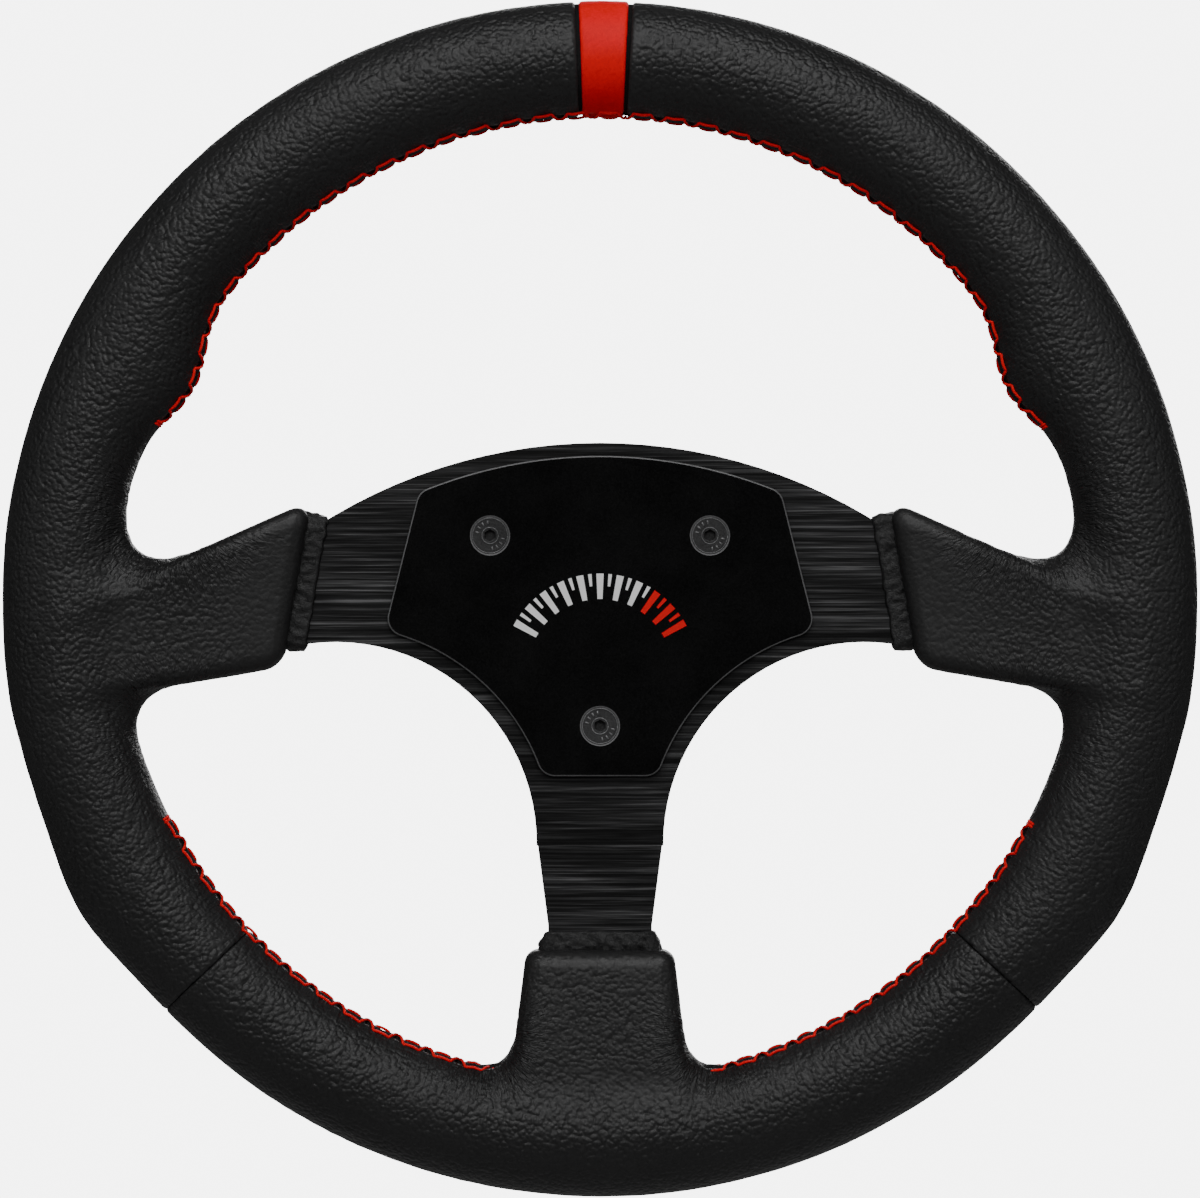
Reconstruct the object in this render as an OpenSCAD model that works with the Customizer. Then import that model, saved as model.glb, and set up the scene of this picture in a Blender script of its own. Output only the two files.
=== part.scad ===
// Quick release steering wheel: a padded, stitched rim on a three-spoke plate, with a ball-lock socket behind.
// The wheel turns about Y. +Y points towards the steering column, +Z is twelve o'clock, +X is the driver's right.
// Y = 0 is the open mouth of the socket. "Depth" is the distance from the mouth towards the driver, so y = -depth.
// Units are millimetres.

/* [Rim] */
// Outside diameter of the rim
rim_od = 330; // [326:1:334]
// Radial width of the grip
rim_w = 31.8; // [30:0.2:34]
// Depth of the grip, front to back
rim_depth = 29; // [27:0.5:31]
// How far the two thumb rests stand in from the inner edge
thumb_swell = 6.5; // [0:0.5:8]
// How far the two palm rests stand out from the outer edge
palm_swell = 2.6; // [0:0.2:4]
// Leather thickness
leather_t = 1.4; // [1.2:0.1:1.8]

/* [Spokes] */
// Thickness of the spoke plate
plate_t = 5; // [4:0.5:6]
// Thickness of the centre cover
cover_t = 2; // [1.5:0.5:3]
// Radius of the upper edge of the spoke plate
brow_r = 144.2; // [143:0.2:146]
// Radius of the two lower windows
window_r = 55.5; // [54:0.5:57]

/* [Quick release] */
// Radius of the socket's pilot bore
pilot_r = 16.5; // [16.3:0.1:17]
// Length of the pilot bore
pilot_len = 10; // [8:0.5:10]
// Teeth in the spline
spline_teeth = 24; // [20:2:30]
// Locking ball radius
ball_r = 4; // [3.9:0.05:4]
// Depth of the ring of balls
ball_depth = 16; // [15.8:0.1:16.2]
// Bolt circle diameter between socket and plate
bolt_circle = 70; // [69:1:71]

/* [Hidden] */
// Which part to draw

leather = [0.13, 0.13, 0.13];
dark = [0.07, 0.07, 0.07];
alloy = [0.72, 0.73, 0.75];
steel = [0.6, 0.6, 0.62];
red = [0.78, 0.03, 0.04];

mid_r = rim_od / 2 - rim_w / 2;
flange_depth = 44;
plate_depth = 52;
cover_depth = plate_depth + plate_t;
face_depth = cover_depth + cover_t;
rim_mid = plate_depth + plate_t / 2;
brow_c = -101.1;
window_x = 73;
window_z = -67.4;
seams = [92.2, 223.4, 316.9, 447.1];
gap = 0.1;

// Spline tooth radii, collar bore and cone
spline_r = 9.5;
tooth_h = 1.3;
body_r = 22.5;
land_r = body_r + 0.1;
slope = 0.25;
ball_ring_r = 18.7;
cone_r = ball_ring_r + (ball_r + 0.05) * sqrt(1 + slope * slope);

// Puts a shape drawn flat in X and Z at a depth, growing towards the driver
module at(depth) translate([0, -depth, 0]) rotate([90, 0, 0]) children();

// Copies children round the axis at each angle and radius
module around(angles, r) for (a = angles) rotate([0, 0, a]) translate([r, 0, 0]) children();

// ---------- curves ----------
function turn(a) = a - 360 * floor((a + 180) / 360);
function bell(a, c, s) = exp(-pow(turn(a - c) / s, 2) / 2);
function rim_out(a) = rim_od / 2 + palm_swell * (bell(a, 211, 4.6) + bell(a, 329, 4.6));
function rim_in(a) = rim_od / 2 - rim_w - thumb_swell * (bell(a, 152.5, 4.8) + bell(a, 27.5, 4.8));

// One oval cross-section of the grip at angle a, taken in by t
function grip_ring(a, t, n) =
    let (m = (rim_out(a) + rim_in(a)) / 2, h = (rim_out(a) - rim_in(a)) / 2 - t, d = rim_depth / 2 - t)
    [for (k = [0 : n - 1])
        let (q = 360 * k / n, r = m + h * cos(q))
        [r * cos(a), r * sin(a), d * sin(q)]];

// Faces of a tube through equal rings
function tube_faces(count, n, closed) =
    [for (i = [0 : count - (closed ? 1 : 2)]) for (k = [0 : n - 1])
        let (j = (i + 1) % count, m = (k + 1) % n)
        each [[i * n + k, i * n + m, j * n + m], [i * n + k, j * n + m, j * n + k]]];

module tube(rings, closed = false) {
    n = len(rings[0]);
    c = len(rings);
    caps = closed ? [] : [[for (k = [n - 1 : -1 : 0]) k], [for (k = [0 : n - 1]) (c - 1) * n + k]];
    polyhedron(points = [for (r = rings) each r], faces = concat(tube_faces(c, n, closed), caps));
}

// The whole grip ring, taken in by t
module grip(t) at(rim_mid) tube([for (i = [0 : 71]) grip_ring(i * 5, t, 20)], true);

// ---------- spoke boots ----------
// Upper and lower edges of the right boot at distance u from the axis
function boot_top(u) = u < 119
    ? 11.5 + 13.3 * pow((119 - u) / 35.6, 0.85)
    : 25.5 - sqrt(196 - pow(u - 119, 2));
function boot_low(u) = u < 114
    ? -18.9 - 4 * pow(max(0, (u - 92.3) / 21.7), 0.6)
    : -34.9 + sqrt(144 - pow(u - 114, 2));
// Half width of the bottom boot at distance v below the axis
function boot_half(v) = v < 120
    ? 20.4 + 2.8 * (v - 99) / 22.7
    : 23 + 8 - sqrt(64 - pow(v - 120, 2));

// A thin stadium between points p and q, half as thick as h, taken in by t
module slab(p, q, h, t) {
    d = (p - q) / norm(p - q);
    hull() for (e = [p - d * h, q + d * h])
        translate([e[0], 0, e[1]]) rotate([0, atan2(d[0], d[1]), 0]) rotate([0, 90, 0])
            cylinder(h = 0.1, r = h - t, center = true, $fn = 16);
}

// A chain of slabs; edges is a list of [top point, low point, half thickness]
module chain(edges, t) {
    for (i = [0 : len(edges) - 2]) hull() {
        slab(edges[i][0], edges[i][1], edges[i][2], t);
        slab(edges[i + 1][0], edges[i + 1][1], edges[i + 1][2], t);
    }
}

side_steps = 8;
side_edges = concat(
    [[[81.4, 21.4], [87.4, -15.7], 5.3]],
    [for (i = [0 : side_steps])
        let (s = i / side_steps, a = 84.2 + 48 * s, b = 92.6 + 33 * s)
        [[a, boot_top(a)], [b, boot_low(b)], 7.8 + 4.2 * s]],
    [[[144, 20], [144, -30], 11]]);
low_edges = concat(
    [[[-17.4, -96.6], [17.4, -96.6], 5.3]],
    [for (i = [0 : 6])
        let (v = 99 + 28.4 * i / 6, w = boot_half(v))
        [[-w, -v], [w, -v], 7.8 + 4.2 * i / 6]],
    [[[-26, -146], [26, -146], 11]]);

// Both side boots and the bottom one, round the plate's middle plane, taken in by t
module side_boot(t) translate([0, -rim_mid, 0]) chain(side_edges, t);
module low_boot(t) translate([0, -rim_mid, 0]) chain(low_edges, t);
module boots(t) {
    side_boot(t);
    mirror([1, 0, 0]) side_boot(t);
    low_boot(t);
}

// The hollow inside the leather, which starts one leather thickness in from each boot's mouth
module inner_boots(t) {
    intersection() {
        boots(t);
        union() {
            for (s = [-1, 1]) rotate([0, -s * 9.2, 0])
                translate([s * 153.2, -rim_mid, 0]) cube([136, 40, 90], center = true);
            translate([0, -rim_mid, -148.4]) cube([90, 40, 100], center = true);
        }
    }
}

// A sector of the wheel from angle a to angle b
module sector(a, b) at(0) linear_extrude(120)
    polygon(concat([[0, 0]], [for (i = [0 : 8]) let (q = a + (b - a) * i / 8) 200 * [cos(q), sin(q)]]));

// ---------- spoke plate ----------
// Outline of the plate, grown outwards by g
module plate_outline(g = 0) {
    intersection() {
        circle(r = 154 + g, $fn = 180);
        union() {
            difference() {
                intersection() {
                    translate([0, brow_c]) circle(r = brow_r + g, $fn = 180);
                    translate([-84.2, -68]) square([168.4, 130]);
                }
                for (s = [-1, 1]) translate([s * window_x, window_z]) circle(r = window_r - g, $fn = 180);
            }
            polygon([[-17.4 - g, -66], [17.4 + g, -66], [14.3 + g, -90], [14.3 + g, -160],
                     [-14.3 - g, -160], [-14.3 - g, -90]]);
            for (s = [-1, 1])
                polygon([[s * 80, 15 + g], [s * 80, -11 - g], [s * 120, -14 - g], [s * 160, -13 - g],
                         [s * 160, 4 + g], [s * 120, 5 + g]]);
        }
    }
}

front_bolts = [30, 150, 270];
rear_bolts = [90, 210, 330];
core_bolts = [0.5, -4, 179.5, 184, 267, 273];

// A countersunk screw from the cover's face down to the flange, grown by g
module cover_screw_shape(g) {
    translate([0, 0, face_depth - 14.6]) cylinder(h = 12.1, r = 2.5 + g, $fn = 48);
    translate([0, 0, face_depth - 2.6]) cylinder(h = 2.6, r1 = 2.5 + g, r2 = 5.1 + g, $fn = 48);
}

module spoke_plate() color(dark) difference() {
    at(plate_depth) linear_extrude(plate_t) plate_outline();
    at(plate_depth - 1) cylinder(h = plate_t + 2, r = 20, $fn = 96);
    at(0) around(front_bolts, bolt_circle / 2) cover_screw_shape(0.05);
    at(plate_depth - 1) around(rear_bolts, bolt_circle / 2) cylinder(h = plate_t + 2, r = 2.55, $fn = 48);
    at(plate_depth - 1) around(core_bolts, 149) cylinder(h = plate_t + 2, r = 2.15, $fn = 48);
}

// ---------- rim ----------
core_in = 143;
core_out = 155;
core_t = 5;
core_depth = plate_depth - core_t;

module rim_core() color(alloy) difference() {
    at(core_depth) rotate_extrude($fn = 180) translate([core_in, 0]) square([core_out - core_in, core_t]);
    at(core_depth - 1) around(core_bolts, 149) cylinder(h = core_t + 2, r = 2.05, $fn = 48);
}

module core_screws() color(steel) at(0) around(core_bolts, 149) difference() {
    union() {
        translate([0, 0, core_depth + 0.2]) cylinder(h = cover_depth - core_depth - 0.15, r = 2, $fn = 48);
        translate([0, 0, cover_depth + 0.02]) cylinder(h = 2.2, r = 3.6, $fn = 48);
    }
    translate([0, 0, cover_depth + 1]) cylinder(h = 2, r = 1.44, $fn = 6);
}

module rim_foam() color([0.2, 0.2, 0.22]) difference() {
    union() {
        grip(leather_t + gap);
        inner_boots(leather_t + gap);
    }
    at(core_depth - 0.2) rotate_extrude($fn = 72)
        translate([core_in - 0.3, 0]) square([core_out - core_in + 0.8, core_t + 0.3]);
    at(plate_depth - 0.1) linear_extrude(plate_t + 0.2) plate_outline(0.15);
    at(plate_depth) around(core_bolts, 149) cylinder(h = plate_t + 2.6, r = 3.9, $fn = 16);
    hem_room(0.15);
}

// One leather panel: everything between two seams, less the hollow
module panel(a, b) difference() {
    intersection() {
        union() {
            grip(0);
            boots(0);
        }
        sector(a, b);
    }
    grip(leather_t);
    inner_boots(leather_t);
    hem_room(0.15);
}
module leather_left() color(leather) panel(seams[0] + gap, seams[1] - gap);
module leather_bottom() color(leather) panel(seams[1] + gap, seams[2] - gap);
module leather_right() color(leather) panel(seams[2] + gap, seams[3] - gap);

// The coloured band at twelve o'clock
module band(t) at(rim_mid) tube([for (i = [0 : 2])
    grip_ring(seams[3] - 360 + gap + (seams[0] - seams[3] + 360 - 2 * gap) * i / 2, t, 20)]);
module band_hollow(t) at(rim_mid) tube([for (i = [0 : 2])
    grip_ring(seams[3] - 361 + (seams[0] - seams[3] + 362) * i / 2, t, 20)]);
module centre_stripe() color(red) difference() {
    band(0.02);
    band_hollow(leather_t);
}

// ---------- hems round the spokes ----------
hem_t = 1.2;
// The strip that each hem covers, from one slanted edge to the other
module hem_band(s) polygon([[s * 74, 28.4], [s * 82.2, -20], [s * 94.2, -20], [s * 86, 28.4]]);
module low_band() translate([-24, -104]) square([48, 12.5]);

module hem(g) {
    difference() {
        at(plate_depth - hem_t - 0.05 - g) linear_extrude(plate_t + 2 * (hem_t + 0.05 + g))
            intersection() {
                plate_outline(hem_t + 0.05 + g);
                children();
            }
        if (g == 0) at(plate_depth - 0.05) linear_extrude(plate_t + 0.1) plate_outline(0.05);
    }
}
module hem_room(g) {
    hem(g) hem_band(1);
    hem(g) hem_band(-1);
    hem(g) low_band();
}
module boot_hem_left() color(dark) hem(0) hem_band(-1);
module boot_hem_right() color(dark) hem(0) hem_band(1);
module boot_hem_bottom() color(dark) hem(0) low_band();

// ---------- stitching ----------
// Radius of the flat-sided grip's inner edge at angle a, between its five degree stations
function edge_r(a) =
    let (lo = 5 * floor(a / 5), hi = lo + 5, p = rim_in(lo), q = rim_in(hi))
    p * q * sin(5) / (p * sin(a - lo) + q * sin(hi - a));

// A thread that zigzags across the joint in the leather from angle a to angle b
module thread(a, b) {
    n = 2 * round((b - a) / 3.9);
    at(rim_mid) tube([for (i = [0 : n])
        let (q = a + (b - a) * i / n, r = edge_r(q) - 0.75, z = (i % 2 == 0) ? -1.5 : 1.5)
        [for (k = [0 : 3])
            let (w = 90 * k + 45, m = r + 0.5 * cos(w))
            [m * cos(q), m * sin(q), z + 0.5 * sin(w)]]]);
}
module stitching_top() color(red) thread(21.5, 158.2);
module stitching_lower_left() color(red) thread(207.2, 257.8);
module stitching_lower_right() color(red) thread(282.7, 332.3);

// ---------- centre cover ----------
module cover_outline() offset(r = 5, $fn = 48) offset(delta = -5) difference() {
    intersection() {
        translate([0, -90.5]) circle(r = 130, $fn = 240);
        polygon([[-47, 41.5], [47, 41.5], [59.9, -10], [59.9, -48.9], [-59.9, -48.9], [-59.9, -10]]);
    }
    for (s = [-1, 1]) translate([s * window_x, window_z]) circle(r = window_r + 4.5, $fn = 144);
}
module centre_cover() color(dark) difference() {
    at(cover_depth) linear_extrude(cover_t) cover_outline();
    at(0) around(front_bolts, bolt_circle / 2) cover_screw_shape(0.05);
}
module cover_screws() color(steel) at(0) around(front_bolts, bolt_circle / 2) difference() {
    cover_screw_shape(0);
    translate([0, 0, face_depth - 2]) cylinder(h = 3, r = 1.73, $fn = 6);
}

// ---------- socket ----------
module hub_screws() color(steel) at(0) around(rear_bolts, bolt_circle / 2) difference() {
    union() {
        translate([0, 0, flange_depth - 6]) cylinder(h = 5, r = 4.25, $fn = 48);
        translate([0, 0, flange_depth - 1.5]) cylinder(h = 14, r = 2.5, $fn = 48);
    }
    translate([0, 0, flange_depth - 7]) cylinder(h = 3.5, r = 2.31, $fn = 6);
}
module hub_washers() color(steel) at(flange_depth - 0.98) around(rear_bolts, bolt_circle / 2)
    difference() {
        cylinder(h = 0.96, r = 5, $fn = 48);
        translate([0, 0, -1]) cylinder(h = 3, r = 2.65, $fn = 48);
    }

// A ball's pocket in the socket wall: a straight hole that ends in a round seat
module ball_pocket() translate([0, 0, ball_depth]) {
    translate([18.5, 0, 0]) rotate([0, 90, 0]) cylinder(h = 8, r = ball_r + 0.08, $fn = 48);
    translate([18.5, 0, 0]) sphere(r = ball_r + 0.08, $fn = 48);
}
module socket_body() color(dark) difference() {
    at(0) rotate_extrude($fn = 96) polygon([
        [pilot_r, 0], [21.9, 0], [body_r, 0.6],
        [body_r, 1.95], [21.3, 1.95], [21.3, 3.25], [body_r, 3.25],
        [body_r, flange_depth - 0.8], [23.3, flange_depth],
        [40, flange_depth], [41, flange_depth + 1], [41, plate_depth - 1], [40, plate_depth],
        [19.6, plate_depth], [19.6, 46], [13.6, 46], [13.6, 24],
        [16, 24], [16, 23.3], [17.6, 23.3], [17.6, 20.7], [16, 20.7],
        [16, pilot_len + 0.5], [pilot_r, pilot_len]]);
    at(0) for (a = [0 : 60 : 300]) rotate([0, 0, a]) ball_pocket();
    at(flange_depth - 1) around([0 : 60 : 300], 46.5) cylinder(h = 12, r = 9, $fn = 96);
    at(flange_depth - 1) around(front_bolts, bolt_circle / 2) cylinder(h = 12, r = 2.55, $fn = 48);
    at(flange_depth - 1) around(rear_bolts, bolt_circle / 2) cylinder(h = 12, r = 2.65, $fn = 48);
    at(37) around([45 : 90 : 315], 16.6) cylinder(h = 10, r = 1.55, $fn = 32);
}

module spline_insert() color(steel) difference() {
    at(0) rotate_extrude($fn = 96) polygon([
        [5, 25], [12.9, 25], [13.5, 25.6], [13.5, 46.02], [19.5, 46.02], [19.5, 50], [19, 50.5], [5, 50.5]]);
    at(20) linear_extrude(40) spline_outline();
    at(45) around([45 : 90 : 315], 16.6) cylinder(h = 7, r = 1.6, $fn = 32);
}
module spline_outline() polygon([for (i = [0 : 2 * spline_teeth - 1])
    let (r = spline_r + (i % 2) * tooth_h, a = 180 * i / spline_teeth) r * [cos(a), sin(a)]]);

module insert_screws() color(steel) at(0) around([45 : 90 : 315], 16.6) difference() {
    union() {
        translate([0, 0, 38]) cylinder(h = 12.6, r = 1.5, $fn = 32);
        translate([0, 0, 50.55]) cylinder(h = 2.9, r = 2.7, $fn = 32);
    }
    translate([0, 0, 52]) cylinder(h = 2, r = 1.44, $fn = 6);
}

module release_collar() color(red) difference() {
    at(0) rotate_extrude($fn = 96) polygon([
        [land_r, 3.5], [27, 3.5], [28, 4.5], [28, 19.5], [30, 21.5],
        [34.5, 21.5], [35.5, 22.5], [35.5, 26.5], [34.5, 27.5], [30, 27.5], [28.5, 29],
        [28.5, 33.3], [27.8, 34], [26, 34], [26, 24], [land_r, 24],
        [land_r, ball_depth + (cone_r - land_r) / slope],
        [cone_r + slope * 7, ball_depth - 7],
        [cone_r + slope * 7, 6.6], [land_r, 6.6]]);
    at(21) around([0 : 30 : 330], 38) cylinder(h = 7, r = 4.6, $fn = 64);
}

module release_spring() color(steel) at(0) {
    turns = 6.5;
    step = 24.88;
    n = 16 * turns;
    tube([for (i = [0 : n])
        let (w = i / 16,
             c = 1.66,
             lead = (43.12 - step - 2 * c) / (turns - 2),
             z = step + (w < 1 ? c * w : (w < turns - 1 ? c + lead * (w - 1) : 43.12 - step - c * (turns - w))),
             q = 360 * w)
        [for (k = [0 : 7])
            let (p = 45 * k, r = 24.6 + 0.8 * cos(p))
            [r * cos(q), r * sin(q), z + 0.8 * sin(p)]]]);
}

module ball(i) color(steel) at(0) rotate([0, 0, 60 * (i - 1)])
    translate([ball_ring_r, 0, ball_depth]) sphere(r = ball_r, $fn = 48);
module locking_ball_1() ball(1);
module locking_ball_2() ball(2);
module locking_ball_3() ball(3);
module locking_ball_4() ball(4);
module locking_ball_5() ball(5);
module locking_ball_6() ball(6);

module retaining_ring() color(steel) at(2) rotate([0, 0, 105]) rotate_extrude(angle = 330, $fn = 96)
    translate([21.35, 0]) square([2.65, 1.2]);

module socket_o_ring() color(dark) at(22) rotate_extrude($fn = 96)
    translate([16.4, 0]) circle(r = 1.1, $fn = 32);

spoke_plate();
rim_core();
core_screws();
rim_foam();
leather_left();
leather_right();
leather_bottom();
centre_stripe();
stitching_top();
stitching_lower_left();
stitching_lower_right();
boot_hem_left();
boot_hem_right();
boot_hem_bottom();
centre_cover();
cover_screws();
hub_screws();
hub_washers();
socket_body();
spline_insert();
insert_screws();
release_collar();
release_spring();
locking_ball_1();
locking_ball_2();
locking_ball_3();
locking_ball_4();
locking_ball_5();
locking_ball_6();
retaining_ring();
socket_o_ring();
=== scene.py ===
"""Looks of a quick release steering wheel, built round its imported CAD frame.

Lengths are in mm until a mesh is made. X is the driver's right, Y points to the column and Z up.
"""

import math

import bmesh
import bpy
import numpy as np
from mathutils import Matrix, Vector


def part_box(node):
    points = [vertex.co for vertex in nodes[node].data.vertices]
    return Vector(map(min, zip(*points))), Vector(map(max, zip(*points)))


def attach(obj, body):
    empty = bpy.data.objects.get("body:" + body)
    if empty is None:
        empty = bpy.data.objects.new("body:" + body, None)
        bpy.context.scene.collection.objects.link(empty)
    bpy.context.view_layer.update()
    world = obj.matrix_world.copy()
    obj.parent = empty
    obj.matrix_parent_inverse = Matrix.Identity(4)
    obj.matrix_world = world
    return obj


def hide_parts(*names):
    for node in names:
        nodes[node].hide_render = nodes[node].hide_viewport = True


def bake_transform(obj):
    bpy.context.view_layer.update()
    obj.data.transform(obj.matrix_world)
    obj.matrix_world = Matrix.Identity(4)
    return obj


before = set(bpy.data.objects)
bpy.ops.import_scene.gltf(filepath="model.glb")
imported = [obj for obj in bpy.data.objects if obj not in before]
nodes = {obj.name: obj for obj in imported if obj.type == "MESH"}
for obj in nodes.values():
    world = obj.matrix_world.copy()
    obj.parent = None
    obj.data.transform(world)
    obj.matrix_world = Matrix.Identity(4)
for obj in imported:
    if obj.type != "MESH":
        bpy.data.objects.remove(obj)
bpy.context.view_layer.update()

MM = 0.001

# ---------------------------------------------------------------- sizes
OUT_R = 165.0          # rim, outer radius
RIM_W = 31.8           # radial width of the grip
HALF_DEPTH = 14.5      # half of the grip's depth
MID_Y = (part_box("spoke_plate")[0].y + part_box("spoke_plate")[1].y) / 2 / MM
FACE_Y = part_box("centre_cover")[0].y / MM
SEAMS = (92.2, 223.4, 316.9, 447.1)       # panel joints, degrees anticlockwise from the driver's right
RUNS = ((21.5, 158.2), (207.2, 257.8), (282.7, 332.3))   # laced stretches
SEAM_W = 3.0           # the laced seam lies this far in front of the grip's middle plane
PITCH = 3.87           # degrees for one stitch of lacing
CORE_R = 149           # middle radius of the rim
INNER_R = 133          # inner radius of the rim, to turn degrees into mm along the seam
LEATHER_T = 1.1        # thickness of the leather
GRID = 1.0             # spacing of the leather's mesh
SCREW_CIRCLE = 35      # radius of the circle of the cover's screws


# ---------------------------------------------------------------- noise
def hashed(i, j, k, seed):
    """A repeatable number from 0 to 1 for each lattice point."""
    h = (i.astype(np.int64) * 374761393 + j.astype(np.int64) * 668265263
         + k.astype(np.int64) * 2147483647 + seed * 974634777) & 0xFFFFFFFF
    h = ((h ^ (h >> 13)) * 1274126177) & 0xFFFFFFFF
    h = ((h ^ (h >> 16)) * 2246822519) & 0xFFFFFFFF
    return (h ^ (h >> 15)) / 4294967295.0


def noise(x, y, z, seed=0):
    """Smooth value noise from -1 to 1."""
    cell = [np.floor(v) for v in (x, y, z)]
    part = [v - c for v, c in zip((x, y, z), cell)]
    ease = [p * p * (3 - 2 * p) for p in part]
    total = 0
    for a in (0, 1):
        for b in (0, 1):
            for c in (0, 1):
                weight = 1
                for bit, e in zip((a, b, c), ease):
                    weight = weight * (e if bit else 1 - e)
                total = total + weight * hashed(cell[0] + a, cell[1] + b, cell[2] + c, seed)
    return total * 2 - 1


def step(v, lo, hi):
    """0 below lo, 1 above hi, smooth between."""
    t = np.clip((v - lo) / (hi - lo), 0, 1)
    return t * t * (3 - 2 * t)


# ---------------------------------------------------------------- the leather's surface
def bell(a, centre, width):
    """A bump of height 1 at an angle, width degrees to each side."""
    return np.exp(-(((a - centre + 180) % 360 - 180) / width) ** 2 / 2)


def rim_out(a):
    """Outer radius of the rim, a little larger at the lower thumb rests."""
    return OUT_R + 2.6 * (bell(a, 211, 4.6) + bell(a, 329, 4.6))


def rim_in(a):
    """Inner radius of the rim, which swells inwards at the upper thumb rests."""
    return OUT_R - RIM_W - 6.5 * (bell(a, 152.5, 4.8) + bell(a, 27.5, 4.8))


def smooth_min(a, b, k):
    """Distance to both shapes together, with a hollow corner k mm wide between them."""
    h = np.maximum(k - np.abs(a - b), 0) / k
    return np.minimum(a, b) - h * h * k / 4


def rounded(sides, r):
    """Distance to the shape inside every side, with its corners rounded to r."""
    q = [s + r for s in sides]
    deepest = np.maximum.reduce(q)
    return np.sqrt(sum(np.maximum(s, 0) ** 2 for s in q)) - r + np.minimum(deepest, 0)


def grip(x, y, z):
    """Distance to the rim, an oval in section."""
    a = np.degrees(np.arctan2(z, x))
    out, inn = rim_out(a), rim_in(a)
    p = (np.hypot(x, z) - (out + inn) / 2) / ((out - inn) / 2)
    q = (y - MID_Y) / HALF_DEPTH
    k = np.sqrt(p * p + q * q) + 1e-9
    steep = np.sqrt((p / ((out - inn) / 2)) ** 2 + (q / HALF_DEPTH) ** 2) / k + 1e-9
    return (k - 1) / steep


BOOT_ROOT = 152        # the boots reach out to this distance from the axis, inside the rim
LOW_MOUTH = 96.7       # the bottom boot's mouth lies this far below the axis


def boot_end(u, z):
    """How far a point lies past the side boot's slanted mouth, towards the hub."""
    return -0.9847 * (u - 80.7) + 0.1743 * (19.5 - z)


def hollow(y, across, past, half):
    """The opening that the hem comes out of: past is the distance out of the mouth."""
    return np.maximum.reduce([np.abs(y - MID_Y) - 4.3, np.abs(across) - half, -3.5 - past])


def side_boot(x, y, z):
    """Distance to the left and right boots: their outline seen from the front, then their thickness."""
    u = np.abs(x)
    top = (z - (24.9 - 0.437 * (u - 85))) * 0.917
    low = (-20.3 - 0.17 * (u - 96) - z) * 0.985
    outline = rounded([rounded([top, boot_end(u, z)], 6.0), low, u - BOOT_ROOT], 5.0)
    body = rounded([outline, np.abs(y - MID_Y) - (8.6 + 0.07 * (u - 83))], 4.3)
    return np.maximum(body, -hollow(y, z - 2.6, boot_end(u, z), 18.2))


def low_boot(x, y, z):
    """Distance to the bottom boot, made in the same way."""
    v = -z
    side = np.abs(x) - (20.6 + 0.125 * (v - 99))
    outline = rounded([side, LOW_MOUTH - v, v - BOOT_ROOT], 3.4)
    body = rounded([outline, np.abs(y - MID_Y) - (8.9 + 0.084 * (v - 98))], 5.2)
    return np.maximum(body, -hollow(y, x, LOW_MOUTH - v, 16.6))


def leather(x, y, z):
    """Distance to rim and boots together, with hollow corners that are tighter on the faces."""
    face = step(np.abs(y - MID_Y), 3, 12)
    d = smooth_min(grip(x, y, z), side_boot(x, y, z), 15 + 8 * step(z, -10, 10) - face * 10)
    return smooth_min(d, low_boot(x, y, z), 12 - face * 7)


def slope(f, p, e=0.05):
    """Unit gradient of f at points p."""
    g = np.stack([(f(*(p + d).T) - f(*(p - d).T)) for d in np.eye(3) * e], 1)
    return g / (np.linalg.norm(g, axis=1)[:, None] + 1e-12)


def surface_net(f, lo, hi, h):
    """Quad mesh of f = 0 in the box lo to hi, one vertex for each crossed cell of side h."""
    axes = [np.arange(a, b + h, h) for a, b in zip(lo, hi)]
    value = f(*np.meshgrid(*axes, indexing="ij"))
    inside = value < 0
    corner = [inside[i:inside.shape[0] - 1 + i, j:inside.shape[1] - 1 + j, k:inside.shape[2] - 1 + k]
              for i in (0, 1) for j in (0, 1) for k in (0, 1)]
    full = np.logical_and.reduce(corner)
    some = np.logical_or.reduce(corner)
    cells = np.argwhere(some & ~full)
    index = np.full(full.shape, -1)
    index[tuple(cells.T)] = np.arange(len(cells))
    total, count = np.zeros((len(cells), 3)), np.zeros(len(cells))
    corners = [(i, j, k) for i in (0, 1) for j in (0, 1) for k in (0, 1)]
    for a in corners:
        for axis in range(3):
            if a[axis]:
                continue
            b = list(a)
            b[axis] = 1
            va = value[tuple((cells + a).T)]
            vb = value[tuple((cells + b).T)]
            cross = (va < 0) != (vb < 0)
            t = np.where(cross, va / np.where(va == vb, 1, va - vb), 0)
            point = cells + np.array(a, float)
            point[:, axis] += t
            total += point * cross[:, None]
            count += cross
    points = np.array([ax[0] for ax in axes]) + total / count[:, None] * h
    quads = []
    for axis in range(3):
        one, two = [i for i in range(3) if i != axis]
        first = np.take(inside, range(inside.shape[axis] - 1), axis)
        second = np.take(inside, range(1, inside.shape[axis]), axis)
        for into in (True, False):
            edges = np.argwhere((first == into) & (second != into))
            edges = edges[(edges[:, one] > 0) & (edges[:, two] > 0)]
            around = []
            for d1, d2 in ((0, 0), (-1, 0), (-1, -1), (0, -1)):
                c = edges.copy()
                c[:, one] += d1
                c[:, two] += d2
                around.append(c)
            ok = np.ones(len(edges), bool)
            for c in around:
                ok &= (c < np.array(index.shape)).all(1)
            ring = np.stack([index[tuple(c[ok].T)] for c in around], 1)
            ring = ring[(ring >= 0).all(1)]
            if into == (axis == 1):
                ring = ring[:, ::-1]
            quads.append(ring)
    return points, np.concatenate(quads)


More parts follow.
